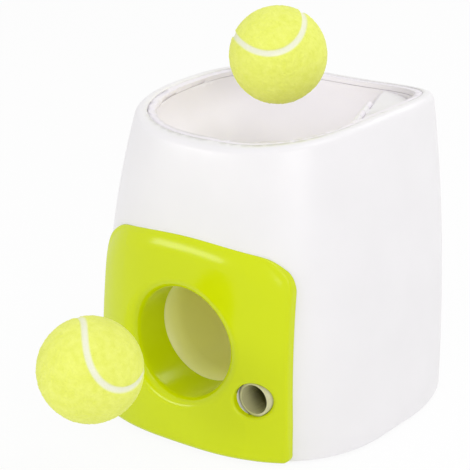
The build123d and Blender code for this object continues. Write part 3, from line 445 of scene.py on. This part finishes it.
# --- tennis balls ---
BALL_RADIUS = 33 * MM
BALL_SUBDIVISIONS = 7
SEAM_WAVE = 0.84  # 1 is a plain great circle; less swings the seam further
SEAM_STEPS = 900
SEAM_HALF_WIDTH = 1.2 * MM
SEAM_EDGE = 1.5 * MM
SEAM_DEPTH = 0.9 * MM
SEAM_SMOOTHING = 0.8  # share of the nap that is missing on the seam
NAP_HEIGHT = 0.35 * MM
NAP_PITCH = 22  # waves over a ball of radius 1
NAP_FADE, NAP_LACUNARITY, NAP_OCTAVES = 0.8, 2.1, 5


def seam_points():
    """The closed seam curve on a unit ball."""
    lift = 2 * math.sqrt(SEAM_WAVE * (1 - SEAM_WAVE))
    points = []
    for step in range(SEAM_STEPS):
        angle = 2 * math.pi * step / SEAM_STEPS
        points.append(
            Vector(
                (
                    SEAM_WAVE * math.cos(angle) + (1 - SEAM_WAVE) * math.cos(3 * angle),
                    SEAM_WAVE * math.sin(angle) - (1 - SEAM_WAVE) * math.sin(3 * angle),
                    lift * math.sin(2 * angle),
                )
            )
        )
    return points


def felt_ball(node, name, turns):
    """A felt ball with a sunk seam, turned about X, Y and Z in degrees."""
    low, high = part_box(node)
    middle = (low + high) / 2
    ball = bmesh.new()
    bmesh.ops.create_icosphere(ball, subdivisions=BALL_SUBDIVISIONS, radius=1.0)
    curve = seam_points()
    nearest = kdtree.KDTree(len(curve))
    for index, point in enumerate(curve):
        nearest.insert(point, index)
    nearest.balance()
    seam_layer = ball.verts.layers.float.new("seam")
    for vert in ball.verts:
        gap = nearest.find(vert.co)[2] * BALL_RADIUS
        sunk = 1 - eased(gap, SEAM_HALF_WIDTH, SEAM_HALF_WIDTH + SEAM_EDGE)
        nap = noise.fractal(vert.co * NAP_PITCH, NAP_FADE, NAP_LACUNARITY, NAP_OCTAVES)
        nap *= NAP_HEIGHT * (1 - SEAM_SMOOTHING * sunk)
        vert[seam_layer] = sunk
        reach = BALL_RADIUS - NAP_HEIGHT - SEAM_DEPTH * sunk + nap
        vert.co = vert.co * reach
    for axis, degrees in zip("XYZ", turns):
        spin = Matrix.Rotation(math.radians(degrees), 3, axis)
        bmesh.ops.rotate(ball, verts=ball.verts, cent=(0, 0, 0), matrix=spin)
    bmesh.ops.translate(ball, verts=ball.verts, vec=middle)
    mesh = bpy.data.meshes.new(name)
    ball.to_mesh(mesh)
    ball.free()
    for face in mesh.polygons:
        face.use_smooth = True
    mesh.materials.append(felt)
    stand_in(node, name, mesh)


felt_ball("tennis_ball_top", "felt_ball_top", (44.5, 55.4, -168.8))
felt_ball("tennis_ball_front", "felt_ball_front", (64.3, -1.2, -151.9))


# --- studio ---
SWEEP_GLOW = 0.92  # share of the sweep that is plain white to the camera
SWEEP_HALF_SIZE = 4.0
AMBIENT = 0.64


def seen_rays(tree, share):
    """A factor that is share for camera, mirror and see-through rays and 0 for the rest."""
    rays = add_node(tree, "ShaderNodeLightPath")
    pair = add_node(tree, "ShaderNodeMath", {"operation": "ADD", "use_clamp": True})
    tree.links.new(rays.outputs["Is Camera Ray"], pair.inputs[0])
    tree.links.new(rays.outputs["Is Glossy Ray"], pair.inputs[1])
    every = add_node(tree, "ShaderNodeMath", {"operation": "ADD", "use_clamp": True})
    tree.links.new(pair.outputs[0], every.inputs[0])
    tree.links.new(rays.outputs["Is Transmission Ray"], every.inputs[1])
    part = add_node(tree, "ShaderNodeMath", {"operation": "MULTIPLY"})
    tree.links.new(every.outputs[0], part.inputs[0])
    part.inputs[1].default_value = share
    return part.outputs[0]


def white_sweep():
    """A matt white sweep that keeps a soft shadow and looks white to the camera."""
    material, tree = new_material("white_paper_sweep")
    paper = add_node(tree, "ShaderNodeBsdfDiffuse", {"Color": linear("#F4F4F4")})
    glow = add_node(tree, "ShaderNodeEmission", {"Color": (1, 1, 1, 1), "Strength": 1.0})
    mixed = add_node(tree, "ShaderNodeMixShader", Fac=seen_rays(tree, SWEEP_GLOW))
    tree.links.new(paper.outputs["BSDF"], mixed.inputs[1])
    tree.links.new(glow.outputs["Emission"], mixed.inputs[2])
    add_node(tree, "ShaderNodeOutputMaterial", Surface=mixed.outputs["Shader"])
    return material


floor_mesh = bpy.data.meshes.new("paper_floor")
floor_shape = bmesh.new()
bmesh.ops.create_grid(floor_shape, x_segments=1, y_segments=1, size=SWEEP_HALF_SIZE)
floor_shape.to_mesh(floor_mesh)
floor_shape.free()
floor_mesh.materials.append(white_sweep())
floor = bpy.data.objects.new("paper_floor", floor_mesh)
scene.collection.objects.link(floor)

world = bpy.data.worlds.new("studio_world")
scene.world = world
world.use_nodes = True
sky = world.node_tree
sky.nodes.clear()
ambient = add_node(sky, "ShaderNodeBackground", {"Color": (1, 1, 1, 1), "Strength": AMBIENT})
backdrop = add_node(sky, "ShaderNodeBackground", {"Color": (1, 1, 1, 1), "Strength": 1.0})
chosen = add_node(sky, "ShaderNodeMixShader", Fac=seen_rays(sky, 1.0))
sky.links.new(ambient.outputs["Background"], chosen.inputs[1])
sky.links.new(backdrop.outputs["Background"], chosen.inputs[2])
add_node(sky, "ShaderNodeOutputWorld", Surface=chosen.outputs["Shader"])


def softbox(name, place, aim, width, height, watts):
    """A rectangular area lamp that points at aim."""
    lamp = bpy.data.lights.new(name, "AREA")
    lamp.shape = "RECTANGLE"
    lamp.size = width
    lamp.size_y = height
    lamp.energy = watts
    holder = bpy.data.objects.new(name, lamp)
    holder.location = place
    holder.rotation_euler = (Vector(aim) - Vector(place)).to_track_quat("-Z", "Y").to_euler()
    scene.collection.objects.link(holder)


MACHINE_MIDDLE = (0, 0, 0.11)
softbox("key_softbox", (-0.83, -1.40, 0.62), MACHINE_MIDDLE, 0.95, 0.32, 5.2)
softbox("fill_softbox", (1.5, -1.2, 0.8), MACHINE_MIDDLE, 1.0, 1.0, 7.5)
softbox("top_softbox", (0.9, 0.1, 1.9), MACHINE_MIDDLE, 1.0, 1.0, 7.5)
softbox("rim_softbox", (0.3, 1.6, 1.4), MACHINE_MIDDLE, 1.0, 1.0, 6)

# --- camera ---
AZIMUTH = math.radians(33.67)
ELEVATION = math.radians(20.23)
CAMERA_DISTANCE = 1.0743
AIM_POINT = Vector((0, 0, 0.105))
FOCAL_PIXELS = 1543
FRAME_PIXELS = 470
SENSOR_MM = 36
AIM_LEFT_PIXELS = 41.4
AIM_UP_PIXELS = 11.7

away = Vector(
    (
        math.sin(AZIMUTH) * math.cos(ELEVATION),
        -math.cos(AZIMUTH) * math.cos(ELEVATION),
        math.sin(ELEVATION),
    )
)
right = Vector((math.cos(AZIMUTH), math.sin(AZIMUTH), 0))
look = -away * FOCAL_PIXELS - right * AIM_LEFT_PIXELS + right.cross(-away) * AIM_UP_PIXELS
camera_data = bpy.data.cameras.new("studio_camera")
camera_data.sensor_width = SENSOR_MM
camera_data.lens = FOCAL_PIXELS / FRAME_PIXELS * SENSOR_MM
camera_data.clip_start = 0.05
camera = bpy.data.objects.new("studio_camera", camera_data)
camera.location = AIM_POINT + away * CAMERA_DISTANCE
camera.rotation_euler = look.to_track_quat("-Z", "Y").to_euler()
scene.collection.objects.link(camera)
scene.camera = camera
scene.view_settings.view_transform = "Standard"
